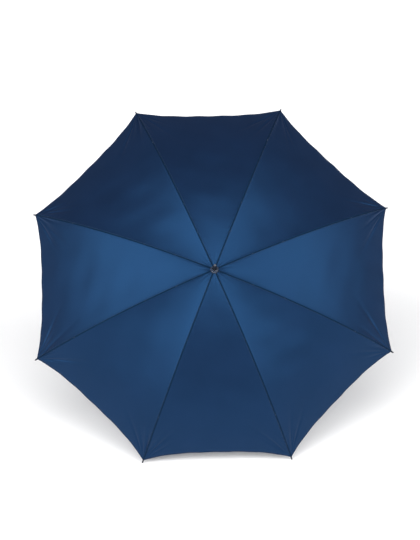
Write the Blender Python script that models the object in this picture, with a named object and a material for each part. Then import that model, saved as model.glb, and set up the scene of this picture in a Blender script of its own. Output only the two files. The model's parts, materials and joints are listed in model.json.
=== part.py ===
# Golf umbrella, open, lying on two rib tips and the end of its handle.
# It is modelled in the shaft's own frame: Z runs up the shaft to the ferrule, and Z = 0 is the level
# of the pivots in the top notch. One empty then lays everything down. Metres and radians.
import math

import bmesh
import bpy
import numpy as np
from mathutils import Matrix, Vector

# ---- driving dimensions ----
OVERALL_LENGTH = 0.990
FERRULE_RISE = 0.082  # top of the ferrule over the notch pivots
RIM_RADIUS = 0.650  # shaft axis to the end of a rib tip, open
RIM_DROP = 0.245  # notch pivots down to the ends of the rib tips
ROOT_RISE = math.radians(1.0)  # the ribs leave the notch this much above level
RIB_COUNT = 8

SHAFT_RADIUS = 0.0070
SHAFT_WALL = 0.0008
BORE_GAP = 0.0003  # round every tube, pin and rod that something fits over
FACE_GAP = 0.0003  # between faces that touch
EDGE = 0.0006  # chamfer on the edges of moulded parts
SOFT_EDGE = 0.0012  # and on their outer rims
OVERCUT = 0.001  # how far a cutter runs past the face it opens
CUT_REACH = 0.020  # outer end of cutters that run out of a part's side

WIRE_RADIUS = 0.0006  # the two wire rings that the ribs and stretchers hinge on
PIVOT_RADIUS = SHAFT_RADIUS + 0.0050  # shaft axis to those rings
NOTCH_RADIUS = PIVOT_RADIUS + 0.0020
NOTCH_TOP = 0.0025  # over its pivots
NOTCH_DEPTH = 0.0070  # under them
SLOT_FLOOR = SHAFT_RADIUS + 0.0022  # radius at the bottom of a slot
GROOVE_HALF_HEIGHT = WIRE_RADIUS + 0.0005
GROOVE_FLOOR = PIVOT_RADIUS - WIRE_RADIUS - 0.0004

ROD_RADIUS = 0.00175  # ribs and stretchers are round rods
EYE_RADIUS = ROD_RADIUS + 0.00025
SHANK_WIDTH = 1.26 * ROD_RADIUS  # flattened end of a rod, across its slot
SHANK_HEIGHT = 1.37 * ROD_RADIUS  # its corners stay inside the rod
SHANK_LENGTH = 0.0090
SHANK_OVERLAP = 0.0015  # rod and flattened end run into each other
SLOT_WIDTH = SHANK_WIDTH + 0.0010

JOINT_REACH = 0.340  # shaft axis to the clips that join ribs and stretchers
JOINT_DROP = ROD_RADIUS + 0.00425  # clip's pin below the rib's centre line
CLIP_LENGTH = 0.0120
CLIP_HALF_WIDTH = ROD_RADIUS + 0.00105
CLIP_TOP_WALL = 0.0006
CLIP_CHEEK = 0.0030  # cheeks below the pin
CLIP_SLOT = SHANK_WIDTH + 0.0006
CLIP_PIN_RADIUS = 0.0009
CLIP_EYE_WALL = 0.0010
CLIP_CHAMFER = 0.0008

TIP_RADIUS = ROD_RADIUS + BORE_GAP + 0.00065
TIP_NOSE_RADIUS = TIP_RADIUS - 0.0007
TIP_LENGTH = 0.020
TIP_SOCKET = 0.0115
TIP_SHOULDER = 0.0070  # end of the nose to the full width

RUNNER_HEAD_TOP = 0.0070  # over the runner's pivots
RUNNER_HEAD_FLOOR = 0.0042  # under them
RUNNER_SLEEVE_RADIUS = SHAFT_RADIUS + 0.0035
RUNNER_LENGTH = 0.045  # pivots down to its lower end
RUNNER_RIM_RADIUS = RUNNER_SLEEVE_RADIUS + 0.0030
RUNNER_RIM_HEIGHT = 0.0045
RUNNER_RIM_SLOPE = 0.0030
WINDOW_CENTRE = 0.024  # window for the lower catch, under the pivots
RUNNER_WINDOW_DEPTH = 0.020
RUNNER_WINDOW_OUT = 0.009  # its middle beyond the surface of the shaft
SHAFT_WINDOW_DEPTH = 0.010

CATCH_WIDTH = 0.0030
CATCH_HEIGHT = 0.018
CATCH_PROUD = 0.0022  # beyond the shaft's surface
CATCH_BACK = SHAFT_RADIUS - 0.0030  # shaft axis to the catch's back face
CATCH_GAP = 0.0005
CATCH_FLAT = 0.0030  # length of the catch that stands fully proud
PIN_RADIUS = 0.0010
PIN_PROUD = 0.0025

CLOTH_THICKNESS = 0.0006
CLOTH_OVER_RIB = 0.0022  # cloth's lower face over the top of the rods
CLOTH_START = SHAFT_RADIUS + 0.0015  # radius of the hole in the crown
CLOTH_END_BEFORE_TIP = 0.0105  # corner of a panel to the end of the rib tip
CLOTH_SAG = 0.006  # panels dip between the ribs
SEAM_GAP = 0.0003  # panel edge to the middle of its rib
HEM_CURVE = 0.020  # hem's middle is drawn in from a straight line
HEM_POWER = 3.2

CAP_RADIUS = SHAFT_RADIUS + 0.0062  # disc over the crown
CAP_THICKNESS = 0.0022
RING_RADIUS = SHAFT_RADIUS + 0.0035
RING_HEIGHT = 0.0130
FERRULE_BASE_RADIUS = SHAFT_RADIUS + 0.0018
FERRULE_NOSE_RADIUS = 0.0042
FERRULE_TIP_LENGTH = 0.0075
FERRULE_BAND = 0.004  # straight part at each end of the ferrule
SHAFT_IN_FERRULE = 0.026  # shaft runs this far above the ring

CORE_RADIUS = SHAFT_RADIUS + 0.0030
GRIP_LENGTH = 0.165
GRIP_RADIUS = CORE_RADIUS + 0.0070
GRIP_END_RADIUS = GRIP_RADIUS - 0.0018
GRIP_LIP = 0.0020  # the grip's ends are this much narrower again
COLLAR_HEIGHT = 0.012
COLLAR_RADIUS = GRIP_END_RADIUS - 0.0002
COLLAR_FOOT = 0.0022  # height of the collar's straight foot
END_CAP_RADIUS = GRIP_RADIUS - 0.0010
END_CAP_THICKNESS = 0.0070
END_CAP_ROUND = 0.0018
PLUG_LENGTH = 0.014

STRAP_LENGTH = 0.130
STRAP_WIDTH = 0.020
STRAP_THICKNESS = 0.0012
STRAP_INSIDE_HEM = 0.006
PAD_LENGTH = 0.022
PAD_THICKNESS = 0.0012
PAD_SIDE = 0.001  # tape left bare beside the pad
PAD_END = 0.003  # and below it

CLOSED_TIP_RADIUS = 0.025  # shaft axis to the ends of the rib tips, closed
RUNNER_TO_STOP = 0.0006

# ---- what follows from them ----
TURN = 2 * math.pi / RIB_COUNT
SHAFT_BORE = SHAFT_RADIUS - SHAFT_WALL
FIT_RADIUS = SHAFT_RADIUS + BORE_GAP  # bore of everything on the shaft
EYE_BORE = WIRE_RADIUS + BORE_GAP
HANDLE_END = FERRULE_RISE - OVERALL_LENGTH
CLOTH_LIFT = ROD_RADIUS + CLOTH_OVER_RIB  # cloth's lower face over a rib's centre line


def rib_arc():
    """Circle that a rib bends to: from its pivot, ROOT_RISE above level, to the end of its tip.
    Returns the centre (x outward, z up), the radius and the end angles, from straight up."""
    chord_x = RIM_RADIUS - PIVOT_RADIUS
    chord = math.hypot(chord_x, RIM_DROP)
    half_angle = math.atan2(RIM_DROP, chord_x) + ROOT_RISE
    radius = chord / (2 * math.sin(half_angle))
    centre = Vector((PIVOT_RADIUS + radius * math.sin(ROOT_RISE), -radius * math.cos(ROOT_RISE)))
    return centre, radius, -ROOT_RISE, 2 * half_angle - ROOT_RISE


ARC_CENTRE, ARC_RADIUS, ARC_START, ARC_END = rib_arc()


def arc_point(angle, offset=0.0):
    """A point on a rib's centre line, or offset outward from it, as (x, z)."""
    reach = ARC_RADIUS + offset
    return Vector((ARC_CENTRE.x + reach * math.sin(angle), ARC_CENTRE.y + reach * math.cos(angle)))


def arc_angle_at(reach):
    """The angle at which a rib's centre line is this far from the shaft axis."""
    return math.asin((reach - ARC_CENTRE.x) / ARC_RADIUS)


# An isosceles linkage: rib pivot to joint is as long as the stretcher, and the two wire rings have one
# radius, so the runner slides straight along the shaft as the ribs turn
JOINT_ANGLE = arc_angle_at(JOINT_REACH)
JOINT = arc_point(JOINT_ANGLE, -JOINT_DROP)
LINK = math.hypot(JOINT.x - PIVOT_RADIUS, JOINT.y)
LINK_SLOPE = math.atan2(-JOINT.y, JOINT.x - PIVOT_RADIUS)
RUNNER_Z = 2 * JOINT.y
TIP_SLOPE = math.atan2(RIM_DROP, RIM_RADIUS - PIVOT_RADIUS)
TIP_CHORD = math.hypot(RIM_DROP, RIM_RADIUS - PIVOT_RADIUS)
FOLD_ANGLE = math.acos((CLOSED_TIP_RADIUS - PIVOT_RADIUS) / TIP_CHORD) - TIP_SLOPE
RUNNER_CLOSED_Z = -2 * LINK * math.sin(LINK_SLOPE + FOLD_ANGLE)

STOP_PIN_Z = RUNNER_Z + RUNNER_HEAD_TOP + RUNNER_TO_STOP + PIN_RADIUS
TOP_CATCH_Z = RUNNER_Z - RUNNER_LENGTH - CATCH_GAP - CATCH_HEIGHT / 2
LOW_CATCH_Z = RUNNER_CLOSED_Z - WINDOW_CENTRE
CAP_Z = CLOTH_LIFT + CLOTH_THICKNESS + FACE_GAP
RING_Z = CAP_Z + CAP_THICKNESS + FACE_GAP
FERRULE_Z = RING_Z + RING_HEIGHT + FACE_GAP
SHAFT_TOP = FERRULE_Z + SHAFT_IN_FERRULE
SHAFT_END = HANDLE_END + END_CAP_THICKNESS + FACE_GAP
GRIP_TOP = SHAFT_END + GRIP_LENGTH


def lying_slope():
    """Slope of the shaft when the two lowest tips and the rim of the end cap stand on one level."""
    nose_x = (RIM_RADIUS - TIP_NOSE_RADIUS) * math.cos(TURN / 2)
    along = -RIM_DROP - (HANDLE_END + END_CAP_ROUND)
    across = nose_x - (END_CAP_RADIUS - END_CAP_ROUND)
    lift = TIP_NOSE_RADIUS - END_CAP_ROUND
    return math.atan2(across, along) + math.asin(lift / math.hypot(across, along))


SLOPE = lying_slope()


def lying_place():
    """Where the notch's middle is, so that the lowest tips are on Z = 0 and Y runs evenly either way."""
    sine, cosine = math.sin(SLOPE), math.cos(SLOPE)
    rise = (RIM_RADIUS - TIP_NOSE_RADIUS) * math.cos(TURN / 2) * cosine + RIM_DROP * sine + TIP_NOSE_RADIUS
    angles = np.linspace(ARC_START, ARC_END, 60)
    out = (ARC_CENTRE.x + ARC_RADIUS * np.sin(angles)) * math.cos(TURN / 2)
    up = ARC_CENTRE.y + ARC_RADIUS * np.cos(angles) + CLOTH_LIFT + CLOTH_THICKNESS
    front = (-out * sine - up * cosine).min()
    back = END_CAP_RADIUS * sine - HANDLE_END * cosine
    return Vector((0, -(front + back) / 2, rise))


# ---- materials ----
def material(name, colour, roughness, metallic=0.0):
    made = bpy.data.materials.new(name)
    made.use_nodes = True
    shader = made.node_tree.nodes["Principled BSDF"]
    shader.inputs["Base Color"].default_value = (*colour, 1)
    shader.inputs["Roughness"].default_value = roughness
    shader.inputs["Metallic"].default_value = metallic
    made.diffuse_color = (*colour, 1)
    return made


# ---- modelling helpers ----
def add_object(name, mesh, parent, colour, place=None):
    """A named object under parent, with rounded faces shaded smooth."""
    made = bpy.data.objects.new(name, mesh)
    bpy.context.scene.collection.objects.link(made)
    made.parent = parent
    if place is not None:
        made.matrix_local = place
    if colour is not None and not mesh.materials:
        mesh.materials.append(colour)
    mesh.shade_smooth()
    mesh.set_sharp_from_angle(angle=math.radians(35))
    return made


def add_empty(name, parent, place):
    made = bpy.data.objects.new(name, None)
    bpy.context.scene.collection.objects.link(made)
    made.parent = parent
    made.matrix_local = place
    return made


def mesh_from(bm, name):
    bmesh.ops.recalc_face_normals(bm, faces=bm.faces)
    mesh = bpy.data.meshes.new(name)
    bm.to_mesh(mesh)
    bm.free()
    return mesh


def turned(name, profile, steps=24, ring=False):
    """A (radius, height) profile spun round Z. A ring's profile is closed; others start and end on the axis."""
    bm = bmesh.new()
    points = [bm.verts.new((radius, 0, height)) for radius, height in profile]
    pairs = list(zip(points, points[1:]))
    if ring:
        pairs.append((points[-1], points[0]))
    edges = [bm.edges.new(pair) for pair in pairs]
    bmesh.ops.spin(
        bm, geom=points + edges, axis=(0, 0, 1), cent=(0, 0, 0), angle=2 * math.pi, steps=steps, use_merge=True
    )
    bmesh.ops.remove_doubles(bm, verts=bm.verts, dist=1e-6)
    return mesh_from(bm, name)


def box(size, centre):
    bm = bmesh.new()
    place = Matrix.Translation(centre) @ Matrix.Diagonal((*size, 1))
    bmesh.ops.create_cube(bm, size=1, matrix=place)
    return mesh_from(bm, "box")


def rod(radius, start, end, sides=8):
    """A closed cylinder from start to end."""
    start, end = Vector(start), Vector(end)
    run = end - start
    turn = run.to_track_quat("Z", "Y").to_matrix().to_4x4()
    bm = bmesh.new()
    bmesh.ops.create_cone(
        bm,
        segments=sides,
        radius1=radius,
        radius2=radius,
        depth=run.length,
        cap_ends=True,
        matrix=Matrix.Translation((start + end) / 2) @ turn,
    )
    return mesh_from(bm, "rod")


def prism(outline, half_width):
    """An (x, z) outline made solid from Y = -half_width to half_width."""
    bm = bmesh.new()
    face = bm.faces.new([bm.verts.new((x, -half_width, z)) for x, z in outline])
    side = bmesh.ops.extrude_face_region(bm, geom=[face])
    moved = [item for item in side["geom"] if isinstance(item, bmesh.types.BMVert)]
    bmesh.ops.translate(bm, verts=moved, vec=(0, 2 * half_width, 0))
    return mesh_from(bm, "prism")


def bent_rod(name, radius, first, last, steps, sides=6):
    """A rod along the rib's arc, in the rib's frame, from one arc angle to another."""
    bm = bmesh.new()
    circle = [2 * math.pi * (n + 0.5) / sides for n in range(sides)]
    rings = []
    for angle in np.linspace(first, last, steps + 1):
        ring = []
        for turn in circle:
            x, z = arc_point(angle, radius * math.cos(turn))
            ring.append(bm.verts.new((x - PIVOT_RADIUS, radius * math.sin(turn), z)))
        rings.append(ring)
    for here, there in zip(rings, rings[1:]):
        for n in range(sides):
            m = (n + 1) % sides
            bm.faces.new((here[n], here[m], there[m], there[n]))
    bm.faces.new(rings[0])
    bm.faces.new(rings[-1])
    return mesh_from(bm, name)


def combined(name, base, *steps):
    """base with each (operation, mesh) applied by an exact Boolean, as one finished mesh."""
    scene = bpy.context.scene.collection
    body = bpy.data.objects.new(name, base)
    scene.objects.link(body)
    tools = []
    for operation, mesh in steps:
        tool = bpy.data.objects.new("tool", mesh)
        scene.objects.link(tool)
        tool.hide_render = True
        tool.display_type = "WIRE"
        change = body.modifiers.new(operation, "BOOLEAN")
        change.operation = operation
        change.solver = "EXACT"
        change.object = tool
        tools.append(tool)
    graph = bpy.context.evaluated_depsgraph_get()
    finished = bpy.data.meshes.new_from_object(body.evaluated_get(graph))
    finished.name = name
    for used in [body, *tools]:
        bpy.data.objects.remove(used)
    return finished


def round_about(angle):
    return Matrix.Rotation(angle, 4, "Z")


def rib_azimuth(number):
    return (number - 0.5) * TURN


# ---- shaft and what is fixed to it ----
def make_shaft(parent, paint):
    tube = turned(
        "shaft",
        [
            (SHAFT_RADIUS, SHAFT_TOP),
            (SHAFT_RADIUS, SHAFT_END),
            (SHAFT_BORE, SHAFT_END),
            (SHAFT_BORE, SHAFT_TOP),
        ],
        ring=True,
    )
    pin_hole = rod(PIN_RADIUS + BORE_GAP, (-CUT_REACH, 0, STOP_PIN_Z), (CUT_REACH, 0, STOP_PIN_Z))
    window = (CATCH_WIDTH + 2 * BORE_GAP, SHAFT_WINDOW_DEPTH, CATCH_HEIGHT + 2 * BORE_GAP)
    top_window = box(window, (0, SHAFT_RADIUS, TOP_CATCH_Z))
    low_window = box(window, (0, SHAFT_RADIUS, LOW_CATCH_Z))
    mesh = combined(
        "shaft", tube, ("DIFFERENCE", pin_hole), ("DIFFERENCE", top_window), ("DIFFERENCE", low_window)
    )
    add_object("shaft", mesh, parent, paint)


def slots(count, bottom, top):
    """Boxes that cut radial slots, from SLOT_FLOOR outward, one at each rib."""
    cuts = []
    middle = (SLOT_FLOOR + CUT_REACH) / 2
    for number in range(1, count + 1):
        cut = box((CUT_REACH - SLOT_FLOOR, SLOT_WIDTH, top - bottom), (middle, 0, (top + bottom) / 2))
        cut.transform(round_about(rib_azimuth(number)))
        cuts.append(("DIFFERENCE", cut))
    return cuts


def grooved_head(top, bottom):
    """Profile of a head whose groove at height 0 holds a wire ring, outer side first."""
    return [
        (NOTCH_RADIUS - EDGE, top),
        (NOTCH_RADIUS, top - EDGE),
        (NOTCH_RADIUS, GROOVE_HALF_HEIGHT),
        (GROOVE_FLOOR, GROOVE_HALF_HEIGHT),
        (GROOVE_FLOOR, -GROOVE_HALF_HEIGHT),
        (NOTCH_RADIUS, -GROOVE_HALF_HEIGHT),
        (NOTCH_RADIUS, bottom + EDGE),
        (NOTCH_RADIUS - EDGE, bottom),
    ]


def make_top_notch(parent, plastic, wire):
    profile = grooved_head(NOTCH_TOP, -NOTCH_DEPTH)
    spool = turned(
        "top_notch", [*profile, (FIT_RADIUS, -NOTCH_DEPTH), (FIT_RADIUS, NOTCH_TOP)], steps=32, ring=True
    )
    cuts = slots(RIB_COUNT, -NOTCH_DEPTH - OVERCUT, NOTCH_TOP + OVERCUT)
    add_object("top_notch", combined("top_notch", spool, *cuts), parent, plastic)
    add_object("notch_wire", wire_ring("notch_wire"), parent, wire)


def wire_ring(name):
    points = [math.pi * (2 * n + 1) / 6 for n in range(6)]
    section = [(PIVOT_RADIUS + WIRE_RADIUS * math.cos(a), WIRE_RADIUS * math.sin(a)) for a in points]
    return turned(name, section, ring=True)


def make_crown(parent, dark, bright, plastic):
    """Disc over the crown, bright ring, ferrule and its tip, stacked up the shaft."""
    cap_top = CAP_Z + CAP_THICKNESS
    disc = [
        (CAP_RADIUS - SOFT_EDGE, cap_top),
        (CAP_RADIUS, cap_top - SOFT_EDGE),
        (CAP_RADIUS, CAP_Z),
        (FIT_RADIUS, CAP_Z),
        (FIT_RADIUS, cap_top),
    ]
    add_object("canopy_cap", turned("canopy_cap", disc, ring=True), parent, dark)
    ring_top = RING_Z + RING_HEIGHT
    ring = [
        (RING_RADIUS - SOFT_EDGE, ring_top),
        (RING_RADIUS - EDGE / 2, ring_top - EDGE),
        (RING_RADIUS, ring_top - 2 * EDGE),
        (RING_RADIUS, RING_Z + EDGE),
        (RING_RADIUS - EDGE, RING_Z),
        (FIT_RADIUS, RING_Z),
        (FIT_RADIUS, ring_top),
    ]
    add_object("ferrule_ring", turned("ferrule_ring", ring, ring=True), parent, bright)
    tip_base = FERRULE_RISE - FERRULE_TIP_LENGTH
    neck = FERRULE_NOSE_RADIUS + EDGE / 2
    spike = [
        (0, tip_base - FACE_GAP),
        (neck, tip_base - FACE_GAP),
        (neck + EDGE, tip_base - FERRULE_BAND),
        (FERRULE_BASE_RADIUS - EDGE, SHAFT_TOP - FERRULE_BAND),
        (FERRULE_BASE_RADIUS, FERRULE_Z + FERRULE_BAND),
        (FERRULE_BASE_RADIUS, FERRULE_Z),
        (FIT_RADIUS, FERRULE_Z),
        (FIT_RADIUS, SHAFT_TOP + FACE_GAP),
        (0, SHAFT_TOP + FACE_GAP),
    ]
    add_object("ferrule", turned("ferrule", spike), parent, plastic)
    round_from = FERRULE_NOSE_RADIUS * 0.45
    arc = [math.radians(a) for a in (90, 45, 0)]
    nose = [(0, FERRULE_RISE)]
    for a in arc[1:]:
        across = (FERRULE_NOSE_RADIUS - round_from) + round_from * math.cos(a)
        nose.append((across, FERRULE_RISE - round_from + round_from * math.sin(a)))
    nose.insert(1, (FERRULE_NOSE_RADIUS - round_from, FERRULE_RISE))
    nose += [(FERRULE_NOSE_RADIUS, tip_base), (0, tip_base)]
    add_object("ferrule_tip", turned("ferrule_tip", nose, steps=16), parent, bright)


def make_stop_pin(parent, steel):
    end = SHAFT_RADIUS + PIN_PROUD
    add_object("stop_pin", rod(PIN_RADIUS, (-end, 0, STOP_PIN_Z), (end, 0, STOP_PIN_Z), 12), parent, steel)


def make_handle(parent, foam, plastic, rubber):
    core = [
        (CORE_RADIUS, GRIP_TOP),
        (CORE_RADIUS, SHAFT_END),
        (FIT_RADIUS, SHAFT_END),
        (FIT_RADIUS, GRIP_TOP),
    ]
    add_object("handle_core", turned("handle_core", core, ring=True), parent, plastic)
    bore = CORE_RADIUS + BORE_GAP
    length = GRIP_TOP - SHAFT_END
    swell = [
        (GRIP_END_RADIUS + (GRIP_RADIUS - GRIP_END_RADIUS) * math.sin(math.pi * s) ** 0.6, GRIP_TOP - length * s)
        for s in (0.02, 0.12, 0.3, 0.5, 0.7, 0.88, 0.98)
    ]
    grip = [(GRIP_END_RADIUS - GRIP_LIP, GRIP_TOP), *swell, (GRIP_END_RADIUS - GRIP_LIP, SHAFT_END)]
    grip += [(bore, SHAFT_END), (bore, GRIP_TOP)]
    add_object("handle_grip", turned("handle_grip", grip, ring=True), parent, foam)
    low = GRIP_TOP + FACE_GAP
    high = low + COLLAR_HEIGHT
    collar = [
        (CORE_RADIUS - EDGE, high),
        (CORE_RADIUS + EDGE, high - SOFT_EDGE),
        (COLLAR_RADIUS - SOFT_EDGE, low + COLLAR_FOOT + SOFT_EDGE),
        (COLLAR_RADIUS, low + COLLAR_FOOT),
        (COLLAR_RADIUS, low),
        (FIT_RADIUS, low),
        (FIT_RADIUS, high),
    ]
    add_object("handle_collar", turned("handle_collar", collar, ring=True), parent, plastic)
    top = HANDLE_END + END_CAP_THICKNESS
    stub = SHAFT_BORE - BORE_GAP
    corner = []
    for n in range(4):
        a = math.radians(30 * n)
        across = END_CAP_RADIUS - END_CAP_ROUND * (1 - math.cos(a))
        corner.append((across, HANDLE_END + END_CAP_ROUND * (1 - math.sin(a))))
    plug = [(0, top + PLUG_LENGTH), (stub - EDGE, top + PLUG_LENGTH), (stub, top + PLUG_LENGTH - EDGE)]
    plug += [(stub, top), (END_CAP_RADIUS - EDGE, top), (END_CAP_RADIUS, top - EDGE)]
    plug += [*corner, (0, HANDLE_END)]
    add_object("handle_cap", turned("handle_cap", plug), parent, rubber)


def make_catch(name, height, blocks_down, parent, steel):
    """A sprung wedge in a window of the shaft: flat on the side that holds, sloped on the other."""
    half = CATCH_HEIGHT / 2
    inner = SHAFT_BORE - CATCH_GAP
    proud = SHAFT_RADIUS + CATCH_PROUD
    outline = [
        (CATCH_BACK, -half),
        (inner, -half),
        (SHAFT_RADIUS + FACE_GAP, -half),
        (proud, half - CATCH_FLAT),
        (proud, half),
        (CATCH_BACK, half),
    ]
    wedge = prism(outline, CATCH_WIDTH / 2)
    if not blocks_down:
        wedge.transform(Matrix.Rotation(math.pi, 4, "X"))
    place = Matrix.Translation((0, 0, height)) @ Matrix.Rotation(math.pi / 2, 4, "Z")
    add_object(name, wedge, parent, steel, place)


# ---- runner ----
def make_runner(parent, plastic, wire):
    low = -RUNNER_LENGTH
    head = grooved_head(RUNNER_HEAD_TOP, -RUNNER_HEAD_FLOOR)
    profile = [
        *head,
        (RUNNER_SLEEVE_RADIUS, -RUNNER_HEAD_FLOOR - SOFT_EDGE),
        (RUNNER_SLEEVE_RADIUS, low + RUNNER_RIM_HEIGHT + RUNNER_RIM_SLOPE),
        (RUNNER_RIM_RADIUS, low + RUNNER_RIM_HEIGHT),
        (RUNNER_RIM_RADIUS, low + EDGE),
        (RUNNER_RIM_RADIUS - EDGE, low),
        (FIT_RADIUS, low),
        (FIT_RADIUS, RUNNER_HEAD_TOP),
    ]
    body = turned("runner", profile, steps=32, ring=True)
    slot_bottom = -EYE_RADIUS - EDGE
    cuts = slots(RIB_COUNT, slot_bottom, RUNNER_HEAD_TOP + OVERCUT)
    window = (CATCH_WIDTH + 2 * CATCH_GAP, RUNNER_WINDOW_DEPTH, CATCH_HEIGHT + 2 * CATCH_GAP)
    cuts.append(("DIFFERENCE", box(window, (0, SHAFT_RADIUS + RUNNER_WINDOW_OUT, -WINDOW_CENTRE))))
    place = Matrix.Translation((0, 0, RUNNER_Z))
    add_object("runner", combined("runner", body, *cuts), parent, plastic, place)
    add_object("runner_wire", wire_ring("runner_wire"), parent, wire, place)


# ---- ribs, stretchers and their ends ----
def eye_end(rod_mesh, name, ends):
    """A rod with a flattened, drilled eye at each (x, z, direction, eye radius, bore) in ends."""
    steps = []
    for x, z, direction, eye, _ in ends:
        shank = box((SHANK_LENGTH, SHANK_WIDTH, SHANK_HEIGHT), (SHANK_LENGTH / 2, 0, 0))
        shank.transform(Matrix.Translation((x, 0, z)) @ Matrix.Rotation(-direction, 4, "Y"))
        half = SHANK_WIDTH / 2
        steps.append(("UNION", shank))
        steps.append(("UNION", rod(eye, (x, -half, z), (x, half, z), 16)))
    for x, z, _, _, bore in ends:
        steps.append(("DIFFERENCE", rod(bore, (x, -SHANK_WIDTH, z), (x, SHANK_WIDTH, z))))
    return combined(name, rod_mesh, *steps)


def rib_mesh():
    first = ARC_START + (SHANK_LENGTH - SHANK_OVERLAP) / ARC_RADIUS
    last = ARC_END - (TIP_LENGTH - TIP_SOCKET + FACE_GAP) / ARC_RADIUS
    bar = bent_rod("rib", ROD_RADIUS, first, last, steps=18)
    return eye_end(bar, "rib", [(0, 0, ROOT_RISE, EYE_RADIUS, EYE_BORE)])


def stretcher_mesh():
    """In the frame of its pin in the rib clip: down and in to the runner's pivot."""
    low = Vector((PIVOT_RADIUS - JOINT.x, RUNNER_Z - JOINT.y))
    along = low.normalized()
    inset = SHANK_LENGTH - SHANK_OVERLAP
    start, end = along * inset, low - along * inset
    bar = rod(ROD_RADIUS, (start.x, 0, start.y), (end.x, 0, end.y), 6)
    heading = math.atan2(along.y, along.x)
    pin_bore = CLIP_PIN_RADIUS + BORE_GAP
    ends = [
        (0, 0, heading, pin_bore + CLIP_EYE_WALL, pin_bore),
        (low.x, low.y, heading + math.pi, EYE_RADIUS, EYE_BORE),
    ]
    return eye_end(bar, "stretcher", ends)


def clip_mesh():
    """Clip on a rib at a stretcher's joint. X runs along the rib, and the pin is JOINT_DROP below it."""
    bore = ROD_RADIUS + BORE_GAP
    top = bore + CLIP_TOP_WALL
    low = -JOINT_DROP - CLIP_CHEEK
    half = CLIP_LENGTH / 2
    outline = [
        (-half, top - CLIP_CHAMFER),
        (-half + CLIP_CHAMFER, top),
        (half - CLIP_CHAMFER, top),
        (half, top - CLIP_CHAMFER),
        (half, -bore - SOFT_EDGE),
        (CLIP_CHEEK + EDGE, low + SOFT_EDGE),
        (CLIP_CHEEK - CLIP_CHAMFER, low),
        (-CLIP_CHEEK + CLIP_CHAMFER, low),
        (-CLIP_CHEEK - EDGE, low + SOFT_EDGE),
        (-half, -bore - SOFT_EDGE),
    ]
    body = prism(outline, CLIP_HALF_WIDTH)
    slot_top = -bore - CLIP_CHAMFER
    slot_low = low - OVERCUT
    slot = box((2 * CUT_REACH, CLIP_SLOT, slot_top - slot_low), (0, 0, (slot_top + slot_low) / 2))
    pin = rod(CLIP_PIN_RADIUS, (0, -CLIP_HALF_WIDTH, -JOINT_DROP), (0, CLIP_HALF_WIDTH, -JOINT_DROP))
    return combined(
        "rib_clip",
        body,
        ("DIFFERENCE", rod(bore, (-CUT_REACH, 0, 0), (CUT_REACH, 0, 0), 10)),
        ("DIFFERENCE", slot),
        ("UNION", pin),
    )


def tip_mesh():
    """Cap on a rib's end. Z points outward along the rib, and Z = 0 is the end of the nose."""
    bore = ROD_RADIUS + BORE_GAP
    back = -TIP_LENGTH
    profile = [(0, 0)]
    for n in range(1, 4):
        a = math.radians(27 * n)
        profile.append((TIP_NOSE_RADIUS * math.sin(a), -TIP_NOSE_RADIUS * (1 - math.cos(a))))
    profile += [
        (TIP_RADIUS, -TIP_SHOULDER),
        (TIP_RADIUS, back + EDGE),
        (TIP_RADIUS - EDGE / 2, back),
        (bore, back),
        (bore, back + TIP_SOCKET),
        (0, back + TIP_SOCKET),
    ]
    return turned("rib_tip", profile, steps=10)


def make_ribs(parent, fibre, plastic):
    """Each rib's parent empty is on its pivot in the notch; each stretcher's origin is on its clip's pin."""
    rib, stretcher, clip, tip = rib_mesh(), stretcher_mesh(), clip_mesh(), tip_mesh()
    clip_at = arc_point(JOINT_ANGLE)
    clip_place = Matrix.Translation((clip_at.x - PIVOT_RADIUS, 0, clip_at.y)) @ Matrix.Rotation(
        JOINT_ANGLE, 4, "Y"
    )
    end = arc_point(ARC_END)
    tip_slope = ARC_END - TIP_LENGTH / (2 * ARC_RADIUS)  # the cap lies on the rod's last chord
    tip_place = Matrix.Translation((end.x - PIVOT_RADIUS, 0, end.y)) @ Matrix.Rotation(
        math.pi / 2 + tip_slope, 4, "Y"
    )
    pin_place = Matrix.Translation((JOINT.x - PIVOT_RADIUS, 0, JOINT.y))
    for number in range(1, RIB_COUNT + 1):
        place = round_about(rib_azimuth(number)) @ Matrix.Translation((PIVOT_RADIUS, 0, 0))
        pivot = add_empty(f"rib_pivot_{number}", parent, place)
        add_object(f"rib_{number}", rib, pivot, fibre)
        add_object(f"rib_clip_{number}", clip, pivot, plastic, clip_place)
        add_object(f"rib_tip_{number}", tip, pivot, plastic, tip_place)
        add_object(f"stretcher_{number}", stretcher, pivot, fibre, pin_place)


# ---- canopy ----
def cloth_rows(count):
    """Arc angles of a panel's rows, from the crown to its corners."""
    first = arc_angle_at(CLOTH_START)
    last = ARC_END - CLOTH_END_BEFORE_TIP / ARC_RADIUS
    return np.linspace(first, last, count)


def cloth_height(reach, across):
    """Lower face of a panel, over the line between two ribs at this reach. across is -1 to 1."""
    angle = np.arcsin((reach - ARC_CENTRE.x) / ARC_RADIUS)
    line = ARC_CENTRE.y + ARC_RADIUS * np.cos(angle)
    share = (reach - CLOTH_START) / (RIM_RADIUS - CLOTH_START)
    sag = CLOTH_SAG * 4 * share * (1 - share) * (1 - across**2)
    return line + CLOTH_LIFT / np.cos(angle) - sag


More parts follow.
